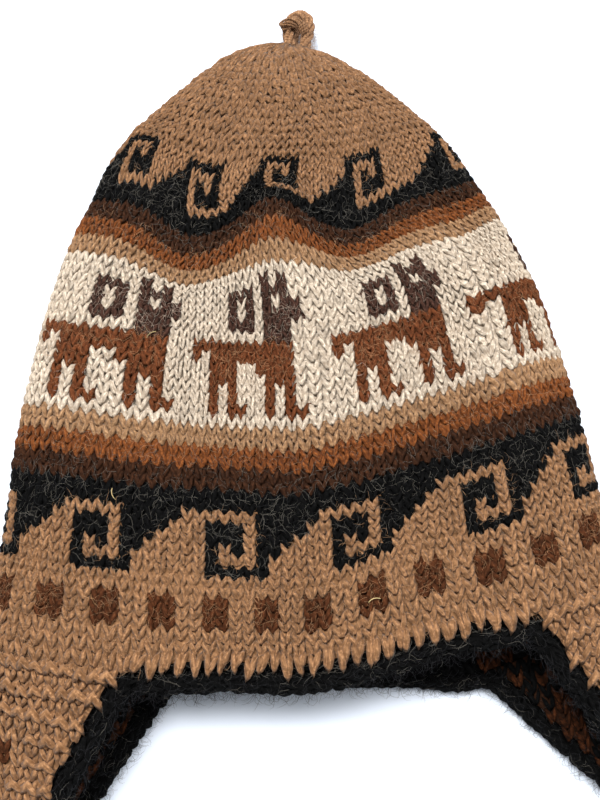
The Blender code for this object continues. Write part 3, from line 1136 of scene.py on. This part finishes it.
flapKnit = {
    "ridges": (0, 2, 4),            # rows of purl
    "border": {"left": 2.6, "right": 5.5},      # garter stitches along its edges
    "ridgeRise": 0.95 * mm,
    "ridgeWide": 1.2,
    "ridgeTall": 1.45,
    "start": 0.4 * mm,              # below the hem
    "past": 0.6,                    # stitches past the edges
    "tipRoom": 2 * mm,
    "edgeAt": 0.4,                  # share of a row where the edges are read
    "stray": 0.7 * mm,
    "figure": ((7, 8), (0.8, 2.3)), # brown stitches at the left: their rows and ring parts
    "lowest": 0.985,                # share of the flap's length that is knitted
}


def flapStitches(flap, seed, facing):
    # knit and purl stitches of one flap; facing is 1 outside and -1 inside
    chance = random.Random(seed)
    knits, purls = [], []
    border = flapKnit["border"]["left" if flap is leftFlap else "right"]
    figureRows, (figureStart, figureStop) = flapKnit["figure"]
    pitch = hatForm["ringParts"] / knit["flapStitches"]
    wide, tall = knit["flatRing"] / knit["flapStitches"], knit["flapRow"]
    lowest = hatForm["hemDown"] + flapKnit["lowest"] * hatForm["flapLength"]
    for index in range(int((hatForm["flapLength"] - flapKnit["tipRoom"]) / tall)):
        down = hatForm["hemDown"] + flapKnit["start"] + index * tall
        first, last = flapSpan(flap, min(down + flapKnit["edgeAt"] * tall, lowest))
        start = (first - backMiddle) / pitch - flapKnit["past"]
        stop = (last - backMiddle) / pitch + flapKnit["past"]
        thick = thickness(down, knit["flapStitches"])
        for column in range(math.ceil(start), math.floor(stop)):
            part = backMiddle + (column + 0.5) * pitch
            x, y = flatPlace(part, down, facing)
            if facing < 0:
                knits += legsOf(chance, x, y, wide, tall, thick, liningYarn(part, down))
                continue
            atEdge = min(part - first, last - part) / pitch < border
            inFigure = (flap is leftFlap and index in figureRows
                        and figureStart < part % hatForm["ringParts"] < figureStop)
            if index in flapKnit["ridges"] or (atEdge and index % 2 == 0):
                stray = chance.uniform(-1, 1) * flapKnit["stray"]
                bump = bumpOf(chance, x, y + stray, wide * flapKnit["ridgeWide"],
                              tall * flapKnit["ridgeTall"], thick, "camel")
                purls.append(bump._replace(height=bump.height + flapKnit["ridgeRise"]))
            knits += legsOf(chance, x, y, wide, tall, thick, "russet" if inFigure else "camel")
    return knits, purls


def flapGround(name, flap, depths, yarnPair, tones, margin):
    grids = []
    for depth in depths:
        grid = []
        for step in ground["flapSteps"]:
            down, first, last = flapEdges(flap, step)
            first, last = first + margin, last - margin
            grid.append([groundPoint(first + (last - first) * column / ground["flapColumns"],
                                     down + ground["flapDrop"], depth)
                         for column in range(ground["flapColumns"] + 1)])
        grids.append(grid)
    return closedShell(name, grids, tones, False, lambda side, spot, column: yarnPair[side])


for side, flap in (("left", leftFlap), ("right", rightFlap)):
    node, liningNode = "ear_flap_" + side, "flap_lining_" + side
    keep(flapGround(node + "_ground", flap, ground["crownDepths"], ("camel", "black"),
                    ground["flapTones"], 0.0), node)
    knits, purls = flapStitches(flap, seeds[side], 1.0)
    keep(stitchPiece(node + "_knit", knits, outerGuide), node)
    keep(stitchPiece(node + "_purl", purls, outerGuide, purlStitch), node)
    keep(flapGround(liningNode + "_ground", flap, ground["liningDepths"], ("brown", "brown"),
                    ground["liningTones"], ground["liningMargin"]), liningNode)
    knits, purls = flapStitches(flap, seeds[side + "Lining"], -1.0)
    keep(stitchPiece(liningNode + "_knit", knits, innerGuide, underLeg), liningNode)

keep(crownGround("crown_lining_ground", ground["liningFaces"], ground["liningDepths"], ground["liningTops"],
                 ground["liningTones"], lambda side, down, part: liningYarn(part, down)), "crown_lining")
chance = random.Random(seeds["lining"])
liningStitches = []
wide = knit["flatRing"] / knit["flapStitches"]
for index in range(lining["rows"]):
    down = hatForm["hemDown"] - (lining["rows"] - index) * knit["flapRow"]
    for column in range(knit["flapStitches"]):
        part = (column + 0.5) / knit["flapStitches"] * hatForm["ringParts"]
        x, y = flatPlace(part, down, -1.0)
        liningStitches += legsOf(chance, x, y, wide, knit["flapRow"], 1.0, liningYarn(part, down))
keep(stitchPiece("crown_lining_knit", liningStitches, innerGuide, underLeg), "crown_lining")
print("stage: flaps and lining knitted")


# crocheted edging along the brow, the flaps and the nape

edging = {
    "width": hatForm["edgingWidth"],
    "columns": 5,                   # chains of stitches round the cord
    "stitch": 4.1 * mm,
    "coreInset": 0.9 * mm,          # from the edging's face to its core
    "coreSides": 15,
    "coreStep": 2.05 * mm,
    # the cord's low tone darkens it where it shows between the crochet stitches, painted shade
    "coreTone": 0.3,
    "lap": 3,                       # columns that its guide passes once round
    "strayAcross": 0.15,            # shares of a stitch
    "strayAlong": 0.2,
    "plump": 1.1,
    "thick": (0.9, 1.25),
    "tipSteps": (0.96, 0.9, 0.83, 0.75, 0.66, 0.56, 0.45, 0.33, 0.21, 0.1, 0.04),
    "probe": 0.2,                   # ring parts to each side, where its direction is read
    "ahead": 0.1,                   # ring parts onward along the hem, for the same
    "tipAhead": 0.01,               # and steps onward round a flap
}


def edgingPoint(down, part, nextDown, nextPart):
    # the middle of the edging beside an edge point of the two walls
    depth = insideDepth / 2
    here, ahead = onHat(part, down, depth), onHat(nextPart, nextDown, depth)
    across = onHat(part + edging["probe"], down, depth) - onHat(part - edging["probe"], down, depth)
    downward = onHat(part, down + mm, depth) - here
    outward = across.cross(downward).cross(ahead - here).normalized()
    return here + outward * (edging["width"] / 2 + 2 * hatForm["gap"])


def edgingRoute():
    cut = hatForm["cornerCut"]
    hem = hatForm["hemDown"]
    route = []
    brow = (leftFlap.last, rightFlap.first, rightFlap)
    nape = (rightFlap.last, leftFlap.first + hatForm["ringParts"], leftFlap)
    for start, stop, flap in (brow, nape):
        length = stop - start - 2 * cut
        count = round(length)
        for spot in range(count + 1):
            part = start + cut + length * spot / count
            route.append(edgingPoint(hem, part, hem, part + edging["ahead"]))
        down, up = edging["tipSteps"], edging["tipSteps"][::-1]
        for edge, steps, ahead in ((1, down, -edging["tipAhead"]), (2, up, edging["tipAhead"])):
            for step in steps:
                here, after = flapEdges(flap, step), flapEdges(flap, step + ahead)
                route.append(edgingPoint(here[0], here[edge], after[0], after[edge]))
    return route


curveSteps = 12                     # on each span of a smooth route
upright = 0.2                       # how soon the rings of a tube turn back after a bend
plyStep = 0.25                      # of its yarn's UV, from one ring to the next


def smoothRoute(route, spacing, closed):
    # evenly spaced points on a smooth curve through the route, and its length
    count = len(route)
    fine = []
    for spot in range(count if closed else count - 1):
        picks = [spot + step for step in (-1, 0, 1, 2)]
        picks = [pick % count if closed else min(max(pick, 0), count - 1) for pick in picks]
        before, start, stop, after = [route[pick] for pick in picks]
        for step in range(curveSteps):
            fine.append(curved(start, stop, (stop - before) / 2, (after - start) / 2, step / curveSteps))
    fine.append(fine[0] if closed else route[-1])
    lengths = runLengths(fine)
    steps = round(lengths[-1] / spacing)
    places = [lengths[-1] * step / steps for step in range(steps if closed else steps + 1)]
    return [atLength(fine, lengths, place) for place in places], lengths[-1]


def tubeLines(points, radius, sides, closed=False, extra=0):
    # rings of points round a route, each turned as little as possible from the last
    side = upwards
    lines = []
    for spot in range(len(points) + extra):
        along = heading(points, spot, closed)
        side = squareTo(along, side).lerp(squareTo(along, upwards), upright).normalized()
        other = side.cross(along)
        lines.append([ringPoint(points[spot % len(points)], side, other, radius, 2 * math.pi * step / sides)
                      for step in range(sides)])
    return lines


def tubeMesh(name, tubes, closed, material, tone=0.4):
    # one mesh of tubes, each from its own rings of points, with a tone; a low tone darkens them as painted
    # shade
    shape = bmesh.new()
    layer = shape.verts.layers.float.new("tone")
    uv = shape.loops.layers.uv.new("strand")
    for lines in tubes:
        grid = vertexGrid(shape, lines, layer, tone)
        count, sides = len(grid), len(grid[0])
        for spot in range(count if closed else count - 1):
            here, ahead = grid[spot], grid[(spot + 1) % count]
            for step in range(sides):
                after = (step + 1) % sides
                face = shape.faces.new((here[step], ahead[step], ahead[after], here[after]))
                face.smooth = True
                places = ((spot, step), (spot + 1, step), (spot + 1, step + 1), (spot, step + 1))
                for loop, (along, turn) in zip(face.loops, places):
                    loop[uv].uv = (along * plyStep, turn / sides)
        if not closed:
            for line in (grid[0], grid[-1]):
                shape.faces.new(line)
    return linkPiece(name, meshFrom(shape, name, (material,)))


cordPoints, cordLength = smoothRoute(edgingRoute(), edging["coreStep"], True)
cordRadius = edging["width"] / 2 - edging["coreInset"]
sides, lap = edging["coreSides"], edging["lap"]
cordLines = tubeLines(cordPoints, cordRadius, sides, True, lap + 1)
girth = 2 * math.pi * cordRadius
spacing = cordLength / len(cordPoints)
guideColumns = range(-lap, sides + lap + 1)
cordFlat = [[(girth * step / sides, -spot * spacing) for step in guideColumns]
            for spot in range(len(cordLines))]
cordGuide = guideSheet("cord_guide", [[line[step % sides] for step in guideColumns] for line in cordLines],
                       cordFlat)

chance = random.Random(seeds["edging"])
chains = []
rowsAlong = round(cordLength / edging["stitch"])
wide, tall = girth / edging["columns"], cordLength / rowsAlong
for index in range(rowsAlong):
    for column in range(edging["columns"]):
        strayX = chance.uniform(-1, 1) * edging["strayAcross"]
        strayY = chance.uniform(-1, 1) * edging["strayAlong"]
        x, y = (column + 0.5 + strayX) * wide, -(index + 0.5 * (column % 2) + strayY) * tall
        thick = chance.uniform(*edging["thick"])
        chains += legsOf(chance, x, y, wide * edging["plump"], tall, thick, "black")
keep(stitchPiece("brow_edging_crochet", chains, cordGuide), "brow_edging")
core = keep(tubeMesh("brow_edging_core", [cordLines[:len(cordPoints)]], True, wool["black"],
                     edging["coreTone"]), "brow_edging")
print("stage: edging crocheted,", rowsAlong, "stitches along")


# loop of twisted yarn at the peak

Length = namedtuple("Length", "route offsets radius sides turn tone fray")
loop = {
    "twist": 27 * mm,               # length of one turn
    "step": 0.7 * mm,
    "lengths": {                    # of yarn: routes in millimetres, then its strands
        "top_loop_strands": Length(
            ((-4.0, -1.4, 9.2), (-4.6, 3.0, 9.8), (-5.2, 7.4, 9.8), (-5.2, 12.6, 9.6), (-3.6, 17.4, 9.4),
             (-0.4, 19.4, 9.0), (3.0, 18.2, 9.0), (4.2, 13.2, 9.2), (3.2, 7.8, 9.4), (2.2, 2.9, 9.8),
             (1.6, -1.4, 9.2)), [1.75 * mm] * 5, 1.05 * mm, 8, 2 * math.pi / 5, 0.95, 0.0),
        "top_loop_inner": Length(   # its inner side, darkened by a low tone as painted shade
            ((-4.0, 0.4, 8.6), (-3.6, 5.0, 8.2), (-2.4, 10.6, 7.8), (0.2, 16.2, 8.0)),
            [1.3 * mm] * 4, 1.05 * mm, 8, math.pi / 2, 0.45, 0.0),
        "top_loop_end": Length(     # the loose end
            ((2.4, 8.0, 11.4), (-0.4, 11.6, 13.4), (-4.4, 12.4, 13.2), (-8.6, 10.8, 11.6)),
            [(0.3 + 0.09 * number) * mm for number in range(18)], 0.42 * mm, 5, 2.4, 0.95, 0.5),
    },
}


def twisted(points, phase, offset, fray):
    # a strand that winds round a route, and away from it where the end frays
    strand = []
    side = upwards
    for spot, here in enumerate(points):
        along = heading(points, spot)
        side = squareTo(along, side)
        turn = phase + 2 * math.pi * spot * loop["step"] / loop["twist"]
        reach = offset * (1 + fray * (spot / len(points)) ** 2)
        strand.append(ringPoint(here, side, along.cross(side), reach, turn))
    return strand


def spin(name, yarn):
    # the strands of one length of yarn
    places = [Vector(place) * mm + frameShift for place in yarn.route]
    points = smoothRoute(places, loop["step"], False)[0]
    tubes = [tubeLines(twisted(points, yarn.turn * number, offset, yarn.fray), yarn.radius, yarn.sides)
             for number, offset in enumerate(yarn.offsets)]
    return keep(tubeMesh(name, tubes, False, wool["fawn"], yarn.tone), "top_loop")


loopPieces = {name: spin(name, yarn) for name, yarn in loop["lengths"].items()}
print("stage: loop twisted")


# bits of straw caught in the wool

straw = {
    "bits": ((40.4, 208, 1.9), (42.2, 148, 0.6), (61.0, 246, 0.3)),     # stitch, millimetres down, turn
    "length": 4.2 * mm,
    "bow": 0.7 * mm,
    "radius": 0.13 * mm,
    "rise": 2.3 * mm,
    "colour": (214, 190, 134),
}


def strawLines(stitch, down, turn):
    place = onHat(backMiddle + stitch / ringStitches * hatForm["ringParts"], down * mm)
    middle = wavy(place, upwards) + upwards * straw["rise"]
    along, aside = Vector((math.cos(turn), math.sin(turn), 0.1)), Vector((-math.sin(turn), math.cos(turn), 0))
    points = []
    for share in (-0.5, -0.25, 0.0, 0.25, 0.5):
        bow = (1 - 4 * share * share) * straw["bow"]
        points.append(middle + along * share * straw["length"] + aside * bow)
    return tubeLines(points, straw["radius"], 5)


keep(tubeMesh("straw_bits", [strawLines(*place) for place in straw["bits"]], False,
              hairMaterial("straw", straw["colour"])), "crown")


# loose hairs of the wool

hairForm = {
    "root": 0.7 * mm,
    "climb": 2 * mm,                # how soon it levels out below its height
    "steepest": (-0.6, 1.2),        # its slopes down and up
    "sway": 0.25,
    "taper": (1.2, 0.6),            # share of its thickness at the root, and what it loses
    "ring": (0, 2.1, 4.2),          # where its three corners stand, in radians
    "smallest": 0.4,                # share of its size
    "picks": 40,                    # from 0; past a set's last hair they start again
}


def hairShape(name, chance, length, curl, top, segments, thick):
    # one thin three sided hair that rises out of its yarn to a height and wanders there
    points = [Vector((0, 0, hairForm["root"]))]
    lowest, steepest = hairForm["steepest"]
    sway = hairForm["sway"]
    turn, bend = 0.0, chance.uniform(-curl, curl)
    for step in range(segments):
        bend = 0.5 * bend + chance.uniform(-curl, curl)
        turn += bend
        climb = min(max((top - points[-1].z) / hairForm["climb"], lowest), steepest)
        onward = Vector((math.cos(turn), math.sin(turn), climb + chance.uniform(-sway, sway))).normalized()
        points.append(points[-1] + onward * length / segments)
    rings = [points[:1]]
    for spot, place in enumerate(points[1:-1], 1):
        along = heading(points, spot)
        side = along.cross(upwards).normalized()
        radius = thick * (hairForm["taper"][0] - hairForm["taper"][1] * spot / segments)
        rings.append([ringPoint(place, side, side.cross(along), radius, turn) for turn in hairForm["ring"]])
    rings.append(points[-1:])
    return bpy.data.objects.new(name, pointedTube(name, rings, 3))


def hairSet(name, seed, kinds, **form):
    chance = random.Random(seed)
    group = bpy.data.collections.new(name)
    bpy.context.scene.collection.children.link(group)
    for number in range(kinds):
        group.objects.link(hairShape("%s_%d" % (name, number), chance, **form))
    return group


def growingTree():
    # hairs of one set, scattered over a surface by how much its faces grow
    nodes, given = newTree("grow_hairs", {
        "Hairs": "NodeSocketCollection", "Density": "NodeSocketFloat", "Seed": "NodeSocketInt",
        "Smallest": "NodeSocketFloat", "Material": "NodeSocketMaterial"})
    density = attribute(nodes, "fuzz", "FLOAT") * given["Density"]
    points = nodes.add("GeometryNodeDistributePointsOnFaces", Mesh=given["Geometry"], Density=density,
                       Seed=given["Seed"])
    kinds = nodes.add("GeometryNodeCollectionInfo", None, given["Hairs"], True, True)
    drawn = "FunctionNodeRandomValue"
    pick = nodes.add(drawn, {"data_type": "INT"}, out=2, at={4: 0, 5: hairForm["picks"]})
    angle = nodes.add(drawn, {"data_type": "FLOAT"}, out=1, at={2: 0.0, 3: 2 * math.pi})
    size = nodes.add(drawn, {"data_type": "FLOAT"}, out=1, at={2: given["Smallest"], 3: 1.0, "Seed": 5})
    turned = nodes.add("FunctionNodeRotateRotation", {"rotation_space": "LOCAL"}, points.other("Rotation"),
                       nodes.add("ShaderNodeCombineXYZ", None, 0.0, 0.0, angle))
    hairs = nodes.add("GeometryNodeInstanceOnPoints", None, Points=points, Instance=kinds,
                      Pick_Instance=True, Instance_Index=pick, Rotation=turned, Scale=size)
    placed = aboveFloor(nodes, nodes.add("GeometryNodeRealizeInstances", None, hairs))
    return closeTree(nodes, nodes.add("GeometryNodeSetMaterial", None, placed, True, given["Material"]))


growHairs = growingTree()


def patch(name, source, fuzzOf):
    # a copy of a surface whose faces say how much hair they grow
    mesh = source.data.copy()
    field = mesh.attributes.new("fuzz", "FLOAT", "FACE")
    field.data.foreach_set("value", [fuzzOf(face) for face in mesh.polygons])
    return linkPiece(name, mesh)


fuzzLimits = {"under": -0.35, "insideSlope": 0.3, "insideHeight": 6 * mm}


def yarnFuzz(wanted):
    # on the crown's outer face by yarn, and none below it or inside
    def fuzzOf(face):
        inside = face.center.z < fuzzLimits["insideHeight"] and face.normal.z > fuzzLimits["insideSlope"]
        hidden = inside or face.normal.z < fuzzLimits["under"]
        return 0.0 if hidden else wanted.get(yarnNames[face.material_index], 0.0)
    return fuzzOf


def slopeFuzz(above, slope, below):
    # by how far a face looks up
    return lambda face: above if face.normal.z > slope else below


hairKinds = {
    "curly": hairSet("curly", 1, 16, length=8 * mm, curl=1.0, top=2.3 * mm, segments=5, thick=0.04 * mm),
    "short": hairSet("short", 2, 12, length=4.4 * mm, curl=0.7, top=3.0 * mm, segments=3, thick=0.05 * mm),
    "halo": hairSet("halo", 3, 16, length=8 * mm, curl=0.95, top=4.5 * mm, segments=4, thick=0.052 * mm),
}
hairColours = {
    "pale": (134, 128, 118), "figure": (205, 154, 110), "head": (206, 184, 164), "loop": (186, 140, 104),
    "outline": (192, 148, 110), "cream": (240, 232, 220), "tan": (212, 170, 128), "dark": (38, 37, 40),
}
hairMaterials = {name: hairMaterial(name + "_hair", colour) for name, colour in hairColours.items()}
onDark = yarnFuzz({"black": 1.0, "brown": 0.6, "rust": 0.2})
onLight = yarnFuzz({"camel": 1.0, "sand": 1.0, "rust": 0.7})
onCamel = yarnFuzz({"camel": 1.0, "sand": 1.0, "rust": 1.0})
onFigures = yarnFuzz({"chestnut": 0.8, "russet": 0.9})
onAll = slopeFuzz(1.0, 0.0, 1.0)

hairs = {       # what it grows on, where, its kind, how many for a square metre, its colour and its slot
    "pale_hairs": (crown, onDark, "curly", 300000, "pale", "dark_knit"),
    "figure_hairs": (crown, onFigures, "curly", 560000, "figure", "dark_knit"),
    "head_hairs": (crown, yarnFuzz({"umber": 1.0}), "curly", 480000, "head", "dark_knit"),
    "dark_hairs": (crown, onDark, "halo", 70000, "dark", "dark_knit"),
    "tan_hairs": (crown, onLight, "short", 220000, "tan", "camel_knit"),
    "outline_hairs": (crown, onCamel, "halo", 125000, "outline", "camel_knit"),
    "loop_hairs": (loopPieces["top_loop_strands"], onAll, "short", 900000, "loop", "camel_yarn"),
    "loop_end_hairs": (loopPieces["top_loop_end"], onAll, "short", 700000, "loop", "camel_yarn"),
    "cream_hairs": (crown, yarnFuzz({"cream": 1.0}), "short", 130000, "cream", "camel_knit"),
    "edging_hairs": (core, slopeFuzz(1.0, -0.8, 0.3), "halo", 520000, "dark", "black_crochet"),
    "edging_pale_hairs": (core, slopeFuzz(1.0, 0.0, 0.0), "curly", 90000, "pale", "black_crochet"),
}
standsFor = {piece.name: node for piece, node, slot in knitPieces}
for number, (name, (source, fuzzOf, kind, density, colour, slot)) in enumerate(hairs.items()):
    values = {"Hairs": hairKinds[kind], "Density": float(density), "Seed": seeds["hairs"] + number,
              "Smallest": hairForm["smallest"], "Material": hairMaterials[colour]}
    piece = grown(patch(name + "_patch", source, fuzzOf), growHairs, values, name)
    keep(piece, standsFor[source.name], slot)
    print("stage:", name, len(piece.data.polygons), "faces")


# clear the helpers, then attach each piece to the hat's body and hide the part that it stands for

for helper in (outerGuide, innerGuide, cordGuide, knitLeg, underLeg, purlStitch):
    bpy.data.objects.remove(helper)
for group in hairKinds.values():
    for hair in list(group.objects):
        bpy.data.objects.remove(hair)
    bpy.data.collections.remove(group)

triangles = 0
for piece, node, slot in knitPieces:
    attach(piece, "root")
    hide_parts(node)
    count = sum(len(face.vertices) - 2 for face in piece.data.polygons)
    triangles += count
    print("piece", piece.name, count)
print("stage: pieces placed,", triangles, "triangles")


# floor and light

reach = view["floorReach"]
floorMesh = bpy.data.meshes.new("floor")
floorMesh.from_pydata([(-reach, -reach, 0), (reach, -reach, 0), (reach, reach, 0), (-reach, reach, 0)], [],
                      [(0, 1, 2, 3)])
material, nodes = newMaterial("pale_floor", view["floorColour"])
nodes.shade(Base_Color=linear(view["floorColour"]), Roughness=view["floorRoughness"])
floorMesh.materials.append(material)
floor = linkPiece("floor", floorMesh)

world = bpy.data.worlds.new("studio")
world.use_nodes = True
background = world.node_tree.nodes["Background"]
background.inputs["Color"].default_value = view["worldColour"]
background.inputs["Strength"].default_value = view["worldLight"]
bpy.context.scene.world = world
bpy.context.scene.view_settings.view_transform = "Standard"

for name, (place, share) in view["lights"].items():
    light = bpy.data.objects.new(name, bpy.data.lights.new(name, "AREA"))
    bpy.context.scene.collection.objects.link(light)
    light.location = place
    light.rotation_euler = Vector(place).to_track_quat("Z", "Y").to_euler()
    light.data.energy = view["keyLight"] * share
    light.data.size = view["keySize"]
print("stage: lights set")
